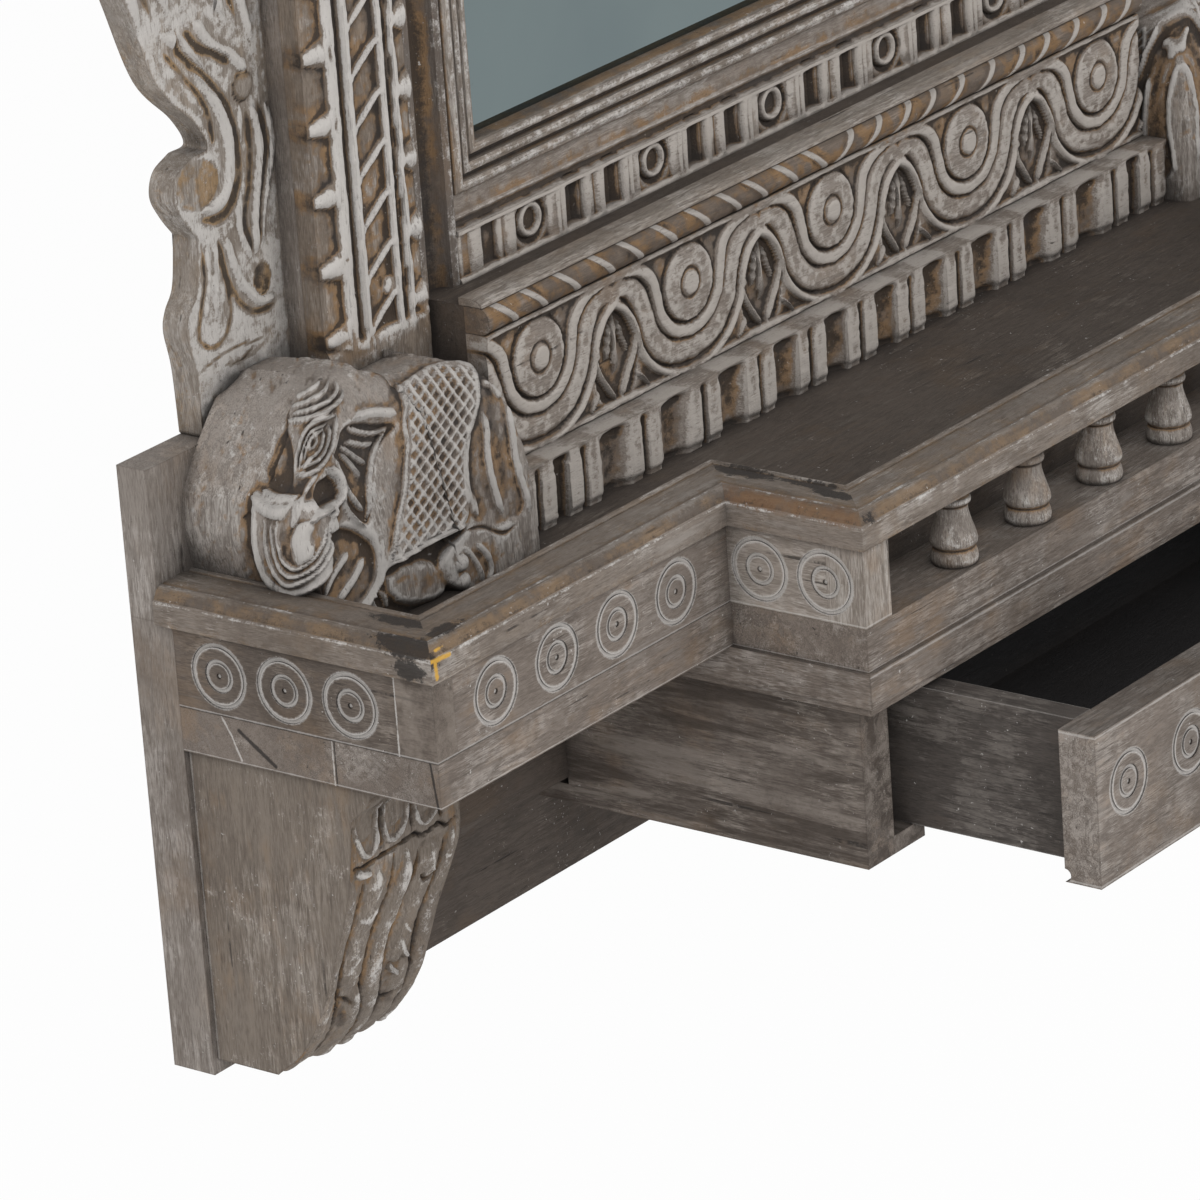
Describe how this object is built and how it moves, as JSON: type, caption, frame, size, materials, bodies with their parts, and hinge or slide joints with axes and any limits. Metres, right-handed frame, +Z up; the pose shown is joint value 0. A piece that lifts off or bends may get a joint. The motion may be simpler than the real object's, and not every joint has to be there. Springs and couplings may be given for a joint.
{
  "type": "jharokha mirror",
  "caption": "Wall-hung carved wood mirror with side pilasters and scroll wings over a railed shelf with elephants, brackets and a drawer.",
  "frame": {"origin": "on the wall face, on the middle plane, level with the top of the shelf base board", "axes": "+Z up, -Y out of the wall towards the viewer, +X to the right as seen from the front"},
  "size_m": [1.036, 0.388, 1.344],
  "materials": {
    "limed_wood": "weathered, limed",
    "carved_wood": "carved, whitewashed high spots, ochre in the hollows",
    "dark_wood": "dark aged",
    "backing_board": "raw board",
    "silvered_glass": "polished",
    "steel": "plain zinc"
  },
  "bodies": {
    "mirror_shelf": {"apron_core": "limed_wood", "back_board": "dark_wood", "balusters": "carved_wood", "base_board": "limed_wood", "bay_rail": "limed_wood", "bracket_left": "carved_wood", "bracket_right": "carved_wood", "cap_end_left": "limed_wood", "cap_end_right": "limed_wood", "cap_front_left": "limed_wood", "cap_front_right": "limed_wood", "cap_returns": "limed_wood", "capitals": "carved_wood", "cove_strips": "limed_wood", "crest_board": "carved_wood", "drawer_runners": "limed_wood", "eave_board": "limed_wood", "elephant_left": "carved_wood", "elephant_right": "carved_wood", "entablature": "limed_wood", "floor_bearers": "dark_wood", "floor_board": "dark_wood", "flute_border": "carved_wood", "frieze_ends": "limed_wood", "frieze_fronts": "limed_wood", "frieze_returns": "limed_wood", "guilloche_frieze": "carved_wood", "hanger_plates": "steel", "hanger_screws": "steel", "housing_band_front": "limed_wood", "housing_band_sides": "limed_wood", "housing_cheeks": "limed_wood", "lower_posts": "limed_wood", "mirror_backing": "backing_board", "mirror_glass": "silvered_glass", "newel_posts": "limed_wood", "ovolo_moulding": "limed_wood", "pilaster_left": "carved_wood", "pilaster_right": "carved_wood", "rail_bottom": "dark_wood", "rail_top": "dark_wood", "reed_bottom": "limed_wood", "reed_left": "limed_wood", "reed_right": "limed_wood", "reed_top": "limed_wood", "ring_band_bottom": "carved_wood", "ring_band_top": "carved_wood", "rope_moulding": "carved_wood", "shelf_ledger": "dark_wood", "stile_left": "dark_wood", "stile_right": "dark_wood", "upper_posts": "limed_wood", "wing_left": "carved_wood", "wing_right": "carved_wood"},
    "drawer": {"drawer_front": "limed_wood", "drawer_side_left": "dark_wood", "drawer_side_right": "dark_wood", "drawer_back": "dark_wood", "drawer_bottom": "dark_wood"}
  },
  "joints": [
    {"name": "drawer_slide", "type": "slide", "parent": "mirror_shelf", "child": "drawer", "axis": [0, -1, 0], "range_m": [-0.104, 0.035]}
  ]
}
